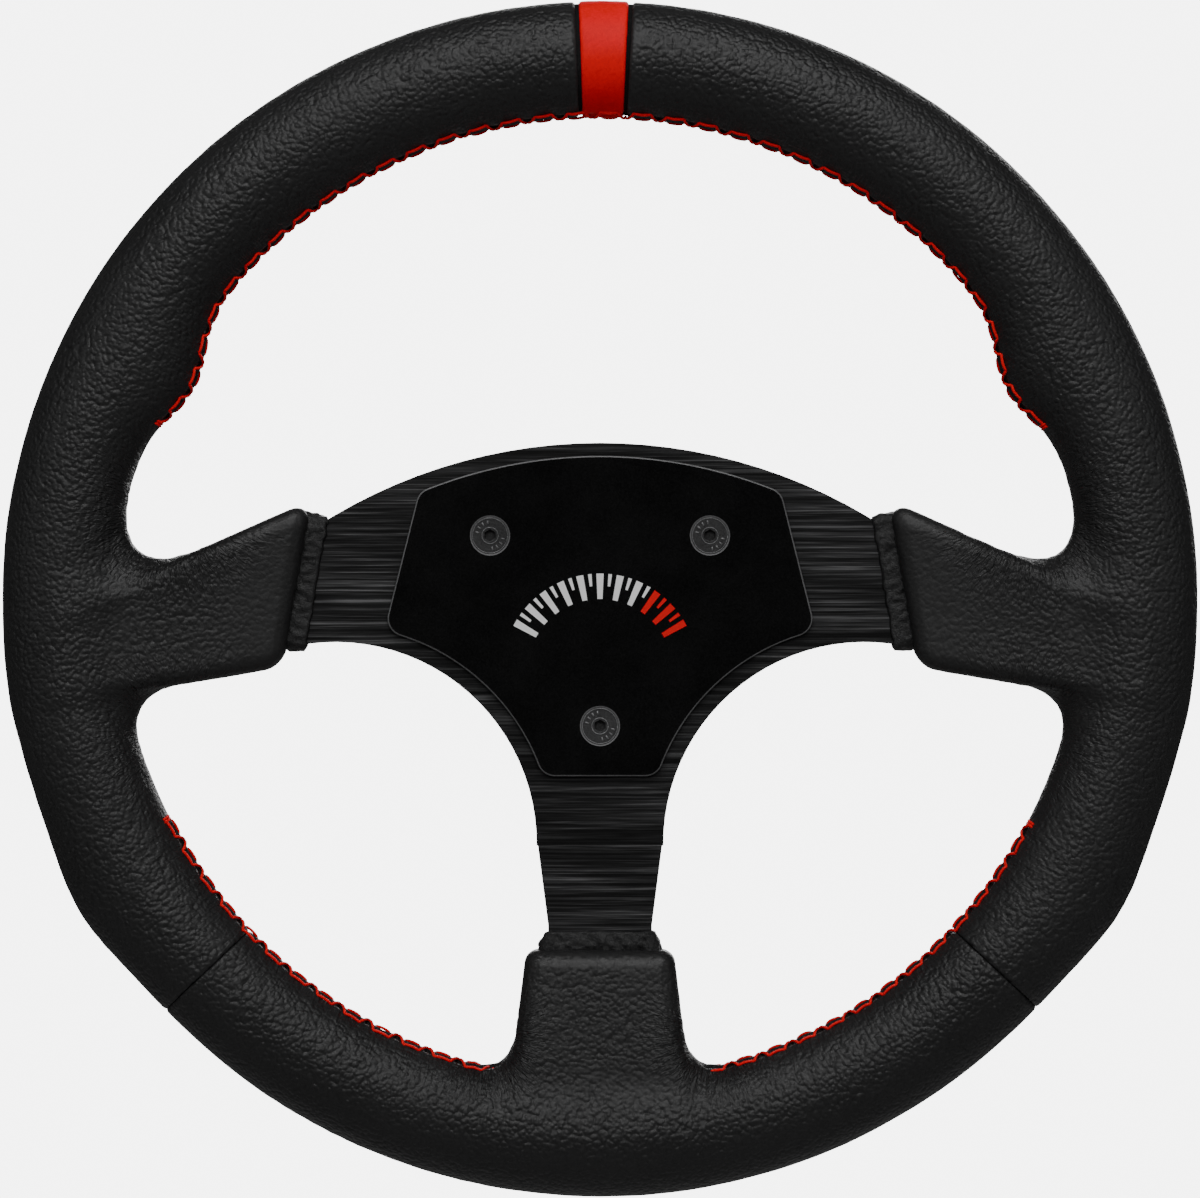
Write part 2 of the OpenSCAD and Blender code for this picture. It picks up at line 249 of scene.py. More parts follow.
def make_mesh(name, points, faces, smooth=True):
    """A mesh object in metres from points in mm."""
    mesh = bpy.data.meshes.new(name)
    mesh.from_pydata((np.asarray(points) * MM).tolist(), [], [list(map(int, f)) for f in faces])
    mesh.polygons.foreach_set("use_smooth", [smooth] * len(mesh.polygons))
    mesh.update()
    obj = bpy.data.objects.new(name, mesh)
    bpy.context.scene.collection.objects.link(obj)
    return obj


def piece(obj, body, slot, material, *replaced):
    """Rides obj on body, hides the parts it replaces and gives it a material. slot is not used."""
    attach(obj, body)
    if replaced:
        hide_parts(*replaced)
    obj.data.materials.clear()
    obj.data.materials.append(material)
    return obj


# ---------------------------------------------------------------- where things lie on the grip
def on_grip(a, w, lift=0.0):
    """Points on the grip at angle a, w mm across the inner edge towards the driver, raised by lift."""
    out, inn = rim_out(a), rim_in(a)
    half = (out - inn) / 2
    t = np.pi - np.asarray(w) / HALF_DEPTH
    normal = np.stack([np.cos(t) / half, np.sin(t) / HALF_DEPTH])
    normal = normal / np.linalg.norm(normal, axis=0)
    r = (out + inn) / 2 + half * np.cos(t) + normal[0] * lift
    y = MID_Y - HALF_DEPTH * np.sin(t) - normal[1] * lift
    c, s = np.cos(np.radians(a)), np.sin(np.radians(a))
    return np.stack([r * c, y, r * s], -1)


def grip_place(p):
    """Degrees anticlockwise from the top, and mm across the inner edge towards the driver, of points p."""
    a = np.degrees(np.arctan2(p[:, 2], p[:, 0]))
    out, inn = rim_out(a), rim_in(a)
    forward = -(p[:, 1] - MID_Y) / HALF_DEPTH
    outward = (np.hypot(p[:, 0], p[:, 2]) - (out + inn) / 2) / ((out - inn) / 2)
    t = np.arctan2(forward, outward)
    w = (np.pi - np.abs(t)) * HALF_DEPTH * np.sign(t)
    return (a - 90) % 360, w


def laced(turned, soft=2.0):
    """1 where the seam is laced, 0 elsewhere, for degrees from the top."""
    total = 0
    for a, b in RUNS:
        mid, half = ((a + b) / 2 - 90) % 360, (b - a) / 2
        off = np.abs((turned - mid + 180) % 360 - 180)
        total = total + 1 - step(off, half - soft / 2, half + soft / 2)
    return total


# the hollow corners between rim and boots: |x|, z, radius, how far their creases reach, the direction of
# their open side in degrees, and how strong the creases are
CORNERS = ((118, 25, 13, 12, 135, 1), (116, -36, 13, 11, 225, 0.55), (31, -120.5, 8, 8, 45, 1))


def relief(p):
    """How far the leather stands off its plain surface, and what its shader needs: how gathered the
    leather is, how grained, its place along and across the grip, and its place round a hollow corner."""
    turned, w = grip_place(p)
    x, y, z = p.T
    r = np.hypot(x, z)
    along = np.radians(turned) * INNER_R
    across = np.abs(w) - np.maximum(rim_in(turned + 90) - r, 0)
    near = np.abs(w - SEAM_W) + np.maximum(rim_in(turned + 90) - 2 - r, 0)
    on = laced(turned)
    beat = np.cos(2 * np.pi * turned / PITCH)
    # the laced seam: a groove, with a low ridge to each side that swells between the stitches
    lift = -0.95 * on * np.exp(-(near / 0.85) ** 2)
    lift += on * (0.30 + 0.12 * beat) * np.exp(-((near - 2.1) / 1.2) ** 2)
    # gathers that run from the seam across the grip
    gather = on * np.exp(-np.maximum(near - 2.5, 0) / 9) * step(r, 119, 129)
    folds = noise(along / 2.6, w / 14, 3.3 + 0 * w, 5) + 0.6 * noise(along / 1.7, w / 8, 9.1 + 0 * w, 6)
    lift += 0.17 * gather * folds * (0.5 + 0.8 * step(noise(along / 30, w / 40, 0 * w, 7), -0.4, 0.4))
    # creases that fan out round the hollow corners
    pull = np.zeros(len(p))
    fan = np.zeros((len(p), 3))
    for cx, cz, size, reach, open_side, strength in CORNERS:
        dx, dz = np.abs(x) - cx, z - cz
        far = np.hypot(dx, dz)
        turn = (np.degrees(np.arctan2(dz, dx)) - open_side) % 360 + 720 * (x > 0)
        here = strength * np.exp(-(((far - size) / reach) ** 2)) * step(far, size - 5, size - 1)
        creases = noise(turn / 8, far / 9, 0.5 + np.sign(y - MID_Y), 11)
        creases += 0.7 * noise(turn / 4.5, far / 6, 2 + 0 * far, 12)
        lift += 0.16 * here * creases
        fan[here > pull] = np.stack([np.radians(turn) * 15, far, y], 1)[here > pull]
        pull = np.maximum(pull, here)
    # slight unevenness everywhere
    lift += 0.03 * noise(x / 4, y / 4, z / 4, 21) + 0.11 * noise(x / 21, y / 17, z / 21, 22)
    worn = step(noise(x / 30, y / 30, z / 30, 24), -0.3, 0.5)
    lift += 0.07 * noise(x / 2.4, y / 2.4, z / 2.4, 23) * (0.3 + 0.7 * worn)
    # how strong the pebble grain is: full on the rim's face, weaker near its inner edge, on the boots
    # and beside the stripe
    patchy = noise(x / 13, y / 13, z / 13, 25)
    grain = 0.40 + 0.60 * step(across + 4 * patchy, 5, 17)
    boot = 0.25 + 0.50 * step(r + 5 * patchy, 92, 118)
    grain = grain + (boot - grain) * step(-r, -133, -127)
    grain *= 1 - 0.7 * np.exp(-((((turned + 180) % 360 - 180 + 0.3) / 3.6) ** 4))
    return lift, {"gather": gather, "pull": pull, "grain": grain,
                  "flow": np.stack([along, across, y], 1), "fan": fan}


def cut(b, angle, clear=None):
    """Cuts the mesh along the half plane at angle, and with clear (1 or -1) drops what lies past it."""
    a = math.radians(angle)
    across = Vector((-math.sin(a), 0, math.cos(a)))
    snap = 0.28 * MM       # vertices nearer than this to the plane move onto it
    for v in b.verts:
        off = v.co.dot(across)
        if abs(off) < snap and v.co.x * math.cos(a) + v.co.z * math.sin(a) > 0:
            v.co -= across * off
    bmesh.ops.bisect_plane(b, geom=b.verts[:] + b.edges[:] + b.faces[:], dist=1e-6, plane_co=(0, 0, 0),
                           plane_no=across * (clear or 1), clear_outer=clear is not None)


def panel_mesh(name, points, quads, lo, hi):
    """The stretch of leather from angle lo to hi, its cut edges turned in, as a closed shell."""
    turned = (np.degrees(np.arctan2(points[:, 2], points[:, 0])) - lo) % 360
    width = hi - lo
    keep = (turned < width + 2) | (turned > 358)
    quads = quads[keep[quads].all(1)]
    used = np.unique(quads)
    number = np.full(len(points), -1)
    number[used] = np.arange(len(used))
    obj = make_mesh(name, points[used], number[quads])
    b = bmesh.new()
    b.from_mesh(obj.data)
    cut(b, lo, -1)
    cut(b, hi, 1)
    for back in (0.35, 0.75, 1.3, 2.1):          # mm from the cut end, for rows of vertices near it
        turn = math.degrees(back / CORE_R)
        cut(b, lo + turn)
        cut(b, hi - turn)
    loose = [v for v in b.verts if not v.link_faces]
    bmesh.ops.delete(b, geom=loose, context="VERTS")
    b.to_mesh(obj.data)
    b.free()
    n = len(obj.data.vertices)
    flat = np.empty(n * 3)
    obj.data.vertices.foreach_get("co", flat)
    p = flat.reshape(-1, 3) / MM
    normal = slope(leather, p)
    lift, fields = relief(p)
    a = np.degrees(np.arctan2(p[:, 2], p[:, 0]))
    edge = np.minimum((a - lo + 180) % 360 - 180, (hi - a + 180) % 360 - 180)
    from_edge = np.radians(np.maximum(edge, 0)) * np.hypot(p[:, 0], p[:, 2])
    lift *= 0.3 + 0.7 * step(from_edge, 0.5, 3)
    lift -= (0.4 + 0.5 * step(p[:, 2], 0, 9)) * np.exp(-(from_edge / 0.45) ** 2)
    p = p + normal * lift[:, None]
    obj.data.vertices.foreach_set("co", (p * MM).ravel())
    for key, value in fields.items():
        if value.ndim == 2:
            field = obj.data.attributes.new(key, "FLOAT_VECTOR", "POINT")
            field.data.foreach_set("vector", value.ravel() * MM)
        else:
            field = obj.data.attributes.new(key, "FLOAT", "POINT")
            field.data.foreach_set("value", value)
    shell = obj.modifiers.new("shell", "SOLIDIFY")
    shell.thickness, shell.offset, shell.use_even_offset = LEATHER_T * MM, -1, False
    obj.data.update()
    return obj


# ---------------------------------------------------------------- material helpers
class Nodes:
    """Short names for building a node tree."""

    def __init__(self, name):
        self.material = bpy.data.materials.new(name)
        self.material.use_nodes = True
        self.tree = self.material.node_tree
        self.shader = self.tree.nodes["Principled BSDF"]

    def add(self, kind, **values):
        node = self.tree.nodes.new("ShaderNode" + kind)
        for key, value in values.items():
            if hasattr(node, key):
                setattr(node, key, value)
            else:
                node.inputs[key.replace("_", " ")].default_value = value
        return node

    def link(self, a, b):
        self.tree.links.new(a, b)

    def set(self, **values):
        for key, value in values.items():
            self.shader.inputs[key.replace("_", " ")].default_value = value

    def place(self, scale=(1, 1, 1), source="Object"):
        """Object coordinates (or an attribute's) times scale."""
        if source == "Object":
            start = self.add("TexCoord").outputs["Object"]
        else:
            start = self.add("Attribute", attribute_name=source).outputs["Vector"]
        m = self.add("Mapping")
        m.inputs["Scale"].default_value = scale
        self.link(start, m.inputs["Vector"])
        return m.outputs["Vector"]

    def noise(self, vector, scale, detail=2.0, rough=0.5, distortion=0.0):
        n = self.add("TexNoise")
        n.inputs["Scale"].default_value = scale
        n.inputs["Detail"].default_value = detail
        n.inputs["Roughness"].default_value = rough
        n.inputs["Distortion"].default_value = distortion
        self.link(vector, n.inputs["Vector"])
        return n.outputs["Fac"]

    def cells(self, vector, scale):
        n = self.add("TexVoronoi", feature="SMOOTH_F1")
        n.inputs["Scale"].default_value = scale
        n.inputs["Randomness"].default_value = 1.0
        self.link(vector, n.inputs["Vector"])
        return n.outputs["Distance"]

    def math(self, operation, a, b):
        n = self.add("Math", operation=operation)
        for i, v in enumerate((a, b)):
            if isinstance(v, (int, float)):
                n.inputs[i].default_value = v
            else:
                self.link(v, n.inputs[i])
        return n.outputs[0]

    def span(self, value, a, b, c, d):
        """value from a..b to c..d, clamped."""
        n = self.add("MapRange")
        for i, v in enumerate((a, b, c, d), 1):
            n.inputs[i].default_value = v
        self.link(value, n.inputs[0])
        return n.outputs[0]

    def ramp(self, value, *stops):
        n = self.add("ValToRGB")
        points = n.color_ramp.elements
        while len(points) < len(stops):
            points.new(0.5)
        for point, (where, colour) in zip(points, stops):
            point.position = where
            point.color = (*colour, 1)
        self.link(value, n.inputs[0])
        return n.outputs[0]

    def bump(self, height, distance, strength=1.0):
        n = self.add("Bump")
        n.inputs["Strength"].default_value = strength
        n.inputs["Distance"].default_value = distance
        self.link(height, n.inputs["Height"])
        return n.outputs["Normal"]

    def finish(self, colour=None, roughness=None, normal=None):
        for value, socket in ((colour, "Base Color"), (roughness, "Roughness"), (normal, "Normal")):
            if value is not None:
                self.link(value, self.shader.inputs[socket])
        return self.material


def grey(v):
    return (v, v, v * 1.02)


def leather_material(name, dark, light):
    """Grained leather: small pebbles, long creases where it is gathered, fans round hollow corners."""
    m = Nodes(name)
    p = m.place()

    def amount(key):
        return m.add("Attribute", attribute_name=key).outputs["Fac"]

    warp = m.add("TexNoise")
    warp.inputs["Scale"].default_value = 420
    m.link(p, warp.inputs["Vector"])
    shift = m.add("VectorMath", operation="MULTIPLY_ADD")
    m.link(warp.outputs["Color"], shift.inputs[0])
    shift.inputs[1].default_value = (0.0006, 0.0006, 0.0006)
    m.link(p, shift.inputs[2])
    dome = m.cells(shift.outputs[0], 880)
    pebble = m.math("SUBTRACT", 1.0, m.math("MULTIPLY", m.math("MULTIPLY", dome, dome), 2.2))
    long = m.add("Mapping")
    long.inputs["Scale"].default_value = (640, 720, 820)
    m.link(shift.outputs[0], long.inputs["Vector"])
    waves = m.noise(long.outputs[0], 1.0, 1, 0.5)
    mixed = m.noise(p, 480, 2, 0.5, 0.3)
    fine = m.noise(p, 2300, 2, 0.6)
    blotch = m.noise(p, 26, 3, 0.55)
    height = m.math("ADD", m.math("MULTIPLY", waves, 0.42), m.math("MULTIPLY", pebble, 0.62))
    height = m.math("ADD", height, m.math("MULTIPLY", mixed, 0.22))
    height = m.math("MULTIPLY", height, amount("grain"))
    height = m.math("ADD", height, m.math("MULTIPLY", fine, 0.05))
    gathers = m.noise(m.place((1000, 190, 90), "flow"), 1.0, 1, 0.5, 0.7)
    height = m.math("ADD", height, m.math("MULTIPLY", m.math("MULTIPLY", gathers, amount("gather")), 1.5))
    fans = m.noise(m.place((1400, 330, 260), "fan"), 1.0, 1, 0.5, 1.1)
    height = m.math("ADD", height, m.math("MULTIPLY", m.math("MULTIPLY", fans, amount("pull")), 2.3))
    normal = m.bump(height, 0.00044, 1.0)
    tone = m.math("ADD", m.math("MULTIPLY", waves, 0.4), m.math("MULTIPLY", blotch, 0.6))
    colour = m.ramp(tone, (0.2, dark), (0.8, light))
    patches = m.math("ADD", m.math("MULTIPLY", blotch, 0.6), m.math("MULTIPLY", mixed, 0.4))
    rough = m.span(patches, 0.3, 0.7, 0.42, 0.56)
    m.set(Specular_IOR_Level=0.4)
    return m.finish(colour, rough, normal)


def plain_leather(name, dark, light, scale, depth, spec):
    """Leather of short fine grain, for the small pieces."""
    m = Nodes(name)
    p = m.place()
    crease = m.noise(p, scale, 4, 0.65, 0.8)
    fine = m.noise(p, 2100, 3, 0.6)
    cloud = m.noise(p, 45, 3, 0.55)
    height = m.math("ADD", m.math("MULTIPLY", crease, 1.0), m.math("MULTIPLY", fine, 0.25))
    tone = m.math("ADD", m.math("MULTIPLY", crease, 0.5), m.math("MULTIPLY", cloud, 0.5))
    m.set(Specular_IOR_Level=spec)
    return m.finish(m.ramp(tone, (0.35, dark), (0.65, light)), m.span(crease, 0.3, 0.7, 0.42, 0.6),
                    m.bump(height, depth, 0.9))


def thread_material():
    """Twisted red thread."""
    m = Nodes("thread_red")
    p = m.place()
    strands = m.noise(p, 5200, 2, 0.6)
    shade = m.noise(p, 900, 2, 0.5)
    colour = m.ramp(m.math("ADD", m.math("MULTIPLY", strands, 0.6), m.math("MULTIPLY", shade, 0.4)),
                    (0.3, (0.72, 0.0008, 0.003)), (0.7, (1.0, 0.003, 0.008)))
    m.set(Specular_IOR_Level=0.12, Sheen_Weight=0.1, Sheen_Roughness=0.4)
    return m.finish(colour, m.span(strands, 0.3, 0.7, 0.42, 0.65), m.bump(strands, 0.0001, 0.9))


def brushed_material():
    """Black brushed metal: horizontal streaks of uneven length, width and strength."""
    m = Nodes("plate_brushed")
    long = m.noise(m.place((19, 60, 1350)), 1.0, 3, 0.65)
    fine = m.noise(m.place((60, 200, 2900)), 1.0, 2, 0.6)
    broad = m.noise(m.place((20, 30, 260)), 1.0, 2, 0.5)
    streak = m.math("ADD", m.math("MULTIPLY", long, 0.6), m.math("MULTIPLY", fine, 0.25))
    streak = m.math("ADD", streak, m.math("MULTIPLY", broad, 0.15))
    colour = m.ramp(streak, (0.41, grey(0.003)), (0.49, grey(0.014)), (0.56, grey(0.042)),
                    (0.66, grey(0.14)))
    rough = m.span(streak, 0.4, 0.65, 0.55, 0.36)
    m.set(Metallic=0.3, Specular_IOR_Level=0.22, Anisotropic=0.4)
    return m.finish(colour, rough, m.bump(streak, 0.00012, 0.6))


def matte_material(name, dark, light, rough=(0.5, 0.66), metal=0.0, spec=0.35, bump=0.00004):
    """A plain surface with fine specks and faint clouds."""
    m = Nodes(name)
    p = m.place()
    speck = m.noise(p, 2600, 2, 0.6)
    cloud = m.noise(p, 60, 3, 0.55)
    both = m.math("ADD", m.math("MULTIPLY", speck, 0.6), m.math("MULTIPLY", cloud, 0.4))
    m.set(Metallic=metal, Specular_IOR_Level=spec)
    return m.finish(m.ramp(both, (0.35, dark), (0.68, light)), m.span(both, 0.3, 0.7, *rough),
                    m.bump(speck, bump, 0.8))


def turned_material(name, colour, rough=(0.22, 0.4), metal=1.0):
    """Metal with fine turning lines round the wheel's axis, and faint scuffs."""
    m = Nodes(name)
    p = m.place()
    split = m.add("SeparateXYZ")
    m.link(p, split.inputs[0])
    flat = m.add("CombineXYZ")
    m.link(split.outputs[0], flat.inputs[0])
    m.link(split.outputs[2], flat.inputs[1])
    size = m.add("VectorMath", operation="LENGTH")
    m.link(flat.outputs[0], size.inputs[0])
    rings = m.add("CombineXYZ")
    m.link(m.math("MULTIPLY", size.outputs["Value"], 2400), rings.inputs[0])
    m.link(m.math("MULTIPLY", split.outputs[1], 2400), rings.inputs[1])
    lines = m.noise(rings.outputs[0], 1.0, 2, 0.6)
    scuff = m.noise(p, 140, 4, 0.65)
    worn = tuple(min(1, c * 1.25 + 0.01) for c in colour)
    dull = tuple(c * 0.72 for c in colour)
    m.set(Metallic=metal, Specular_IOR_Level=0.5)
    both = m.math("ADD", m.math("MULTIPLY", lines, 0.5), m.math("MULTIPLY", scuff, 0.5))
    return m.finish(m.ramp(both, (0.3, dull), (0.7, worn)), m.span(both, 0.3, 0.7, *rough),
                    m.bump(lines, 0.00002, 0.6))


black_leather = leather_material("leather_black", grey(0.0065), grey(0.015))
hem_leather = plain_leather("leather_hem", grey(0.005), grey(0.018), 900, 0.0005, 0.4)
red_leather = plain_leather("leather_red", (0.72, 0.0003, 0.004), (0.95, 0.001, 0.008), 900, 0.0001, 0.12)
thread = thread_material()
brushed = brushed_material()
cover_black = matte_material("cover_matte", grey(0.0015), grey(0.0085), (0.6, 0.75),
                             spec=0.03, bump=0.00006)
cover_edge = matte_material("cover_edge", grey(0.09), grey(0.15), (0.45, 0.55), metal=0.3)
print_white = matte_material("print_white", (0.86, 0.86, 0.86), (0.95, 0.95, 0.95), (0.5, 0.6))
print_red = matte_material("print_red", (0.72, 0.002, 0.004), (0.86, 0.005, 0.008), (0.5, 0.6),
                           spec=0.15)
foam_dark = matte_material("foam_dark", grey(0.006), grey(0.016), (0.8, 0.95),
                           spec=0.05, bump=0.0002)
screw_black = matte_material("screw_black", grey(0.012), grey(0.045), (0.36, 0.5),
                             metal=0.15, bump=0.0001)
# lighter metal for the painted highlights on the screw heads
glint_metal = matte_material("screw_painted_glints", grey(0.10), grey(0.26), (0.35, 0.5), metal=0.5)
steel = turned_material("steel_turned", (0.5, 0.5, 0.52))
alloy = turned_material("alloy_bare", (0.66, 0.67, 0.69), (0.3, 0.5))
red_alloy = turned_material("alloy_red", (0.5, 0.006, 0.012), (0.2, 0.36))
black_alloy = turned_material("alloy_black", (0.03, 0.03, 0.032), (0.3, 0.46), metal=0.6)
ball_steel = turned_material("ball_polished", (0.72, 0.73, 0.75), (0.06, 0.14))
rubber = matte_material("rubber_black", grey(0.008), grey(0.02), (0.6, 0.8))

# ---------------------------------------------------------------- leather panels and padding
STRIPE_GAP = 0.16      # degrees from a panel's end to the joint beside the stripe
SEAM_GAP = 0.02        # the same at the other two joints
box = ((-169, MID_Y - 16, -169), (169, MID_Y + 16, 169))
skin_points, skin_quads = surface_net(leather, *box, GRID)
for _ in range(2):         # two Newton steps bring the vertices onto the surface
    skin_points = skin_points - slope(leather, skin_points) * leather(*skin_points.T)[:, None]
for i, side in enumerate(("left", "bottom", "right")):
    start, end = SEAMS[i:i + 2]
    start += STRIPE_GAP if side == "left" else SEAM_GAP
    end -= STRIPE_GAP if side == "right" else SEAM_GAP
    panel = panel_mesh("grip_" + side, skin_points, skin_quads, start, end)
    piece(panel, "wheel", "leather", black_leather, "leather_" + side)


def padding(x, y, z):
    """The foam under the leather, a little higher in the joints between the panels."""
    a = np.degrees(np.arctan2(z, x))
    joint = sum(np.exp(-(((a - c + 180) % 360 - 180) / 1.2) ** 4) for c in SEAMS)
    return leather(x, y, z) + 1.5 - 1.15 * joint


foam_points, foam_quads = surface_net(padding, *box, 2.5)
foam = make_mesh("grip_foam", foam_points, foam_quads)
piece(foam, "wheel", "foam", foam_dark, "rim_foam")

# ---------------------------------------------------------------- centre stripe
def loft(name, grid):
    """A band from a grid of points [row][column], with its last row joined to its first."""
    rows, cols = grid.shape[:2]
    faces = []
    for i in range(rows):
        j = (i + 1) % rows
        for k in range(cols - 1):
            faces.append((i * cols + k, j * cols + k, j * cols + k + 1, i * cols + k + 1))
    obj = make_mesh(name, grid.reshape(-1, 3), faces)
    b = bmesh.new()
    b.from_mesh(obj.data)
    bmesh.ops.recalc_face_normals(b, faces=b.faces[:])
    b.to_mesh(obj.data)
    b.free()
    return obj


stripe_lo, stripe_hi = SEAMS[3] - 360 + 0.1, SEAMS[0] - 0.1
wide = stripe_hi - stripe_lo
across = np.r_[0, 0.15, 0.35, 0.6, np.linspace(1.0, wide - 1.0, 13)]
across = np.unique(np.round(np.r_[across, wide - across], 3)) + stripe_lo
round_it = np.arange(240) / 240 * 2 * math.pi * HALF_DEPTH - math.pi * HALF_DEPTH
a, w = np.meshgrid(across, round_it)
edge = np.minimum(a - stripe_lo, stripe_hi - a) * math.radians(1) * 150
lift = 0.14 - 0.9 * np.exp(-((edge / 0.32) ** 2)) + 0.05 * noise(a * 2, w / 6, 0 * a, 31)
lift -= 0.9 * np.exp(-((w - SEAM_W) / 0.8) ** 2)
beside = np.exp(-((np.abs(w - SEAM_W) - 2.2) / 1.2) ** 2)
lift += beside * (0.25 + 0.25 * noise(a * 1.3, w / 4, 0 * a + 3, 32))
stripe = loft("centre_band", on_grip(a, w, lift))
shell = stripe.modifiers.new("shell", "SOLIDIFY")
shell.thickness, shell.offset = 0.9 * MM, -1
piece(stripe, "wheel", "red_leather", red_leather, "centre_stripe")


# ---------------------------------------------------------------- lacing
def tube(points, radius, sides=8):
    """Points and faces of a round tube along an open path, with closed ends."""
    p = np.asarray(points, float)
    d = np.gradient(p, axis=0)
    d /= np.linalg.norm(d, axis=1)[:, None]
    up = np.array([0.0, 1.0, 0.0])
    rings = []
    for c, t in zip(p, d):
        side = np.cross(t, up)
        side /= np.linalg.norm(side) + 1e-9
        over = np.cross(side, t)
        for k in range(sides):
            q = 2 * math.pi * k / sides
            rings.append(c + radius * (math.cos(q) * side + math.sin(q) * over))
    n = len(p)
    faces = []
    for i in range(n - 1):
        for k in range(sides):
            this, other = i * sides, (i + 1) * sides
            faces.append((this + k, this + (k + 1) % sides, other + (k + 1) % sides, other + k))
    faces += [tuple(range(sides))[::-1], tuple((n - 1) * sides + k for k in range(sides))]
    return np.array(rings), faces


def join(parts):
    """One list of points and faces from several."""
    points, faces, start = [], [], 0
    for p, f in parts:
        points.append(p)
        faces += [tuple(v + start for v in g) for g in f]
        start += len(p)
    return np.concatenate(points), faces


ROW = 2.45             # each row of holes lies this far from the seam
THREAD_R = 0.40        # radius of the thread


def stitch(a0, w0, a1, w1, proud, n=11):
    """One length of thread from hole to hole, down in the leather at its ends and proud in the middle."""
    t = np.linspace(0, 1, n)
    a, w = a0 + (a1 - a0) * t, w0 + (w1 - w0) * t
    under = relief(on_grip(a, w))[0]
    held = np.maximum(under, under[0] * (1 - t) + under[-1] * t)
    rise = np.sin(np.pi * t) ** 0.4
    return tube(on_grip(a, w, held - 0.3 + (proud + 0.3) * rise), THREAD_R)


def lacing(name, lo, hi, node):
    """A run of lacing from lo to hi degrees. Each stitch is a dash on each side and a cross to and fro."""
    count = round((hi - lo) / PITCH)
    pitch = (hi - lo) / count
    parts = []
    front, back = SEAM_W + ROW, SEAM_W - ROW
    for i in range(count):
        a = lo + i * pitch
        wobble = 0.12 * float(noise(np.array(i * 1.7), np.array(0.5), np.array(lo), 41))
        dash, cross = 0.52 * pitch, 0.24 * pitch
        parts.append(stitch(a, front + wobble, a + dash, front - wobble, 0.3))
        parts.append(stitch(a + dash, front, a + dash + cross, back, 0.4))
        parts.append(stitch(a + dash + cross, back, a + pitch, front, 0.4))
        half = a - 0.02 * pitch
        parts.append(stitch(half + 0.02 * pitch, back - 0.5 + wobble, half + dash, back - 0.5 - wobble,
                            0.3))
    for a, s in ((lo, -1), (hi, 1)):             # two tight turns finish each end
        for turn in (-0.25, 0.1):
            parts.append(stitch(a + s * 0.1 + turn, front + 0.7, a + s * 0.3 + turn, back + 1.2, 0.4))
    points, faces = join(parts)
    obj = make_mesh(name, points, faces)
    piece(obj, "wheel", "thread", thread, node)
    return obj


lacing("lacing_top", *RUNS[0], "stitching_top")
lacing("lacing_lower_left", *RUNS[1], "stitching_lower_left")
lacing("lacing_lower_right", *RUNS[2], "stitching_lower_right")


# ---------------------------------------------------------------- gathered hems
def hem(name, start, end, width, flare, seed, node):
    """A gathered band round a spoke. start and end are the band's two corners in X and Z on the hub side.
    It runs outwards by width, square to the line between them."""
    start, end = np.array(start, float), np.array(end, float)
    line = end - start
    length = np.linalg.norm(line)
    line /= length
    out = np.array([-line[1], line[0]])
    half = 2.5
    loop, r = [], 1.5
    straight = int(length / 0.55)
    for side in (-1, 1):
        for i in range(straight + 1):
            t = i / straight if side < 0 else 1 - i / straight
            loop.append((t * length, side * (half + 1.0), 0, side))
        for q in np.linspace(0, 180, 9)[1:-1]:
            c, s = math.cos(math.radians(q)), math.sin(math.radians(q))
            corner = length if side < 0 else 0
            loop.append((corner - side * r * s, side * c * (half + 1.0), -side, 0))
    loop = np.array(loop)
    steps = np.linspace(0, 1, 23)
    n = len(loop)

    def level(v):
        return np.full(n, float(v))

    grid = np.zeros((n, len(steps), 3))
    around = np.cumsum(np.r_[0, np.hypot(*np.diff(loop[:, :2], axis=0).T)])
    for k, t in enumerate(steps):
        puff = 0.75 * math.sin(math.pi * min(1, t * 1.08 + 0.02)) ** 0.5 - 0.9 * (t < 0.01) - 0.35 * t
        crumple = 0.34 * noise(around / 1.3 + t * 1.5, level(t * 3.2), level(seed), seed)
        crumple += 0.36 * noise(around / 0.75 + t * 3, level(t * 7), level(seed * 2), seed + 1)
        lift = puff + crumple * (0.25 + 0.75 * math.sin(math.pi * min(t + 0.08, 1)))
        outward = width * t + 0.4 * noise(around / 2.2, level(7.7), level(seed), seed + 2) * (1 - t)
        s = loop[:, 0] + loop[:, 2] * (lift + flare * t)
        y = loop[:, 1] + np.sign(loop[:, 1]) * np.abs(loop[:, 3]) * lift
        grid[:, k, 0] = start[0] + line[0] * s + out[0] * outward
        grid[:, k, 1] = MID_Y + y
        grid[:, k, 2] = start[1] + line[1] * s + out[1] * outward
    obj = loft(name, grid)
    shell = obj.modifiers.new("shell", "SOLIDIFY")
    shell.thickness, shell.offset = 0.5 * MM, -1
    piece(obj, "wheel", "leather", hem_leather, node)
    return obj


hem("hem_left", (-80.8, -12.6), (-75.1, 20.9), 10.5, 0.3, 51, "boot_hem_left")
hem("hem_right", (75.1, 20.9), (80.8, -12.6), 10.5, 0.3, 61, "boot_hem_right")
hem("hem_bottom", (13.3, -91.6), (-13.3, -91.6), 9.0, 3.2, 71, "boot_hem_bottom")

# ---------------------------------------------------------------- print on the cover, and painted highlights on its screws
def plates(outlines, y, height):
    """Thin raised shapes on the cover from outlines of (x, z) points."""
    parts = []
    for outline in outlines:
        n = len(outline)
        front = [(x, y - height, z) for x, z in outline]
        back = [(x, y + 0.02, z) for x, z in outline]
        faces = [tuple(range(n)), tuple(range(2 * n - 1, n - 1, -1))]
        faces += [(i, i + n, (i + 1) % n + n, (i + 1) % n) for i in range(n)]
        parts.append((np.array(front + back, float), faces))
    return join(parts)


